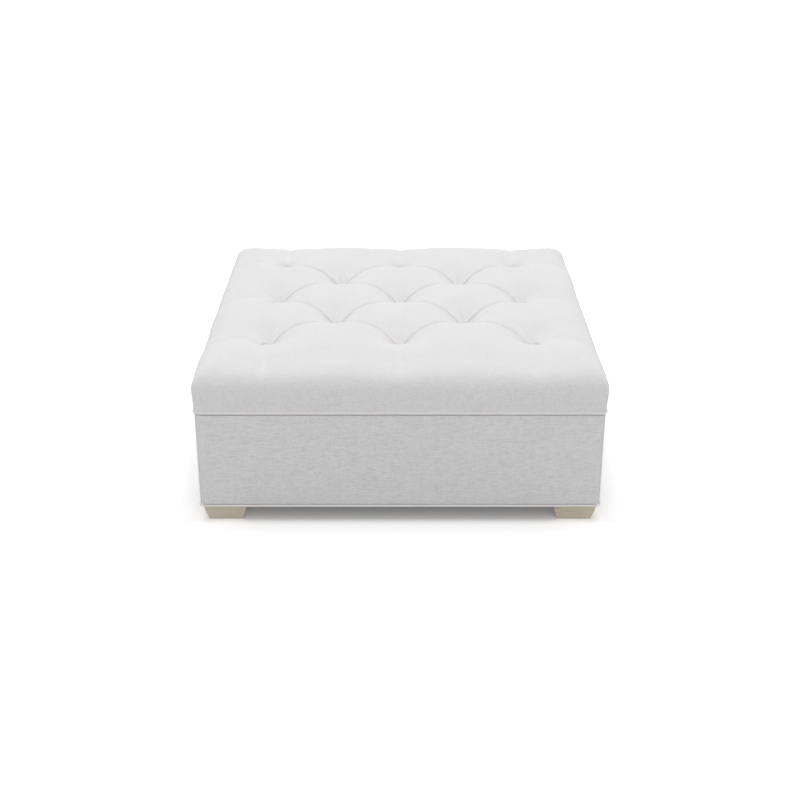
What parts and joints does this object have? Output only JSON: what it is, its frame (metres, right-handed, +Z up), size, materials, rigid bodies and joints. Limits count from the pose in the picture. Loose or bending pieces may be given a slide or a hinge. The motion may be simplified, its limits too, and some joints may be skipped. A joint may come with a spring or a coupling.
{
  "type": "ottoman coffee table",
  "caption": "Square button-tufted ottoman coffee table with a thick upholstered cushion, a welted fabric-covered box base and short tapered wooden feet.",
  "frame": {"origin": "on the floor under the middle of the ottoman, level with the undersides of the feet", "axes": "+Z up; the front faces -Y; +X to the right seen from the front; width and depth are equal"},
  "size_m": [0.975, 0.975, 0.425],
  "materials": {
    "linen": "matt linen-look weave with slubs, pale grey-white",
    "oak_feet": "pale washed oak, matt, fine straight grain",
    "frame_wood": "planed pine, unfinished",
    "board": "plywood and hardboard, unfinished",
    "steel": "zinc-plated steel",
    "batting": "soft white polyester fibre",
    "foam": "open-cell upholstery foam",
    "twine": "waxed tufting twine",
    "black_cambric": "thin black non-woven cloth"
  },
  "bodies": {
    "root": {"foot_front_left": "oak_feet", "corner_block_front_left": "frame_wood", "corner_post_front_left": "frame_wood", "foot_front_right": "oak_feet", "corner_block_front_right": "frame_wood", "corner_post_front_right": "frame_wood", "foot_back_left": "oak_feet", "corner_block_back_left": "frame_wood", "corner_post_back_left": "frame_wood", "foot_back_right": "oak_feet", "corner_block_back_right": "frame_wood", "corner_post_back_right": "frame_wood", "bottom_rail_front": "frame_wood", "top_rail_front": "frame_wood", "side_panel_front": "board", "bottom_rail_back": "frame_wood", "top_rail_back": "frame_wood", "side_panel_back": "board", "bottom_rail_left": "frame_wood", "top_rail_left": "frame_wood", "side_panel_left": "board", "bottom_rail_right": "frame_wood", "top_rail_right": "frame_wood", "side_panel_right": "board", "deck_support_left": "frame_wood", "deck_support_right": "frame_wood", "deck_board": "board", "foot_bolts": "steel", "tee_nuts": "steel", "frame_screws": "steel", "deck_screws": "steel", "dust_cover_tacks": "steel", "twine_washers": "steel", "base_batting": "batting", "top_batting": "batting", "foam_core": "foam", "base_cover": "linen", "top_cover": "linen", "upper_welt": "linen", "lower_welt": "linen", "tufting_buttons": "linen", "tufting_twine": "twine", "dust_cover": "black_cambric"}
  },
  "joints": []
}
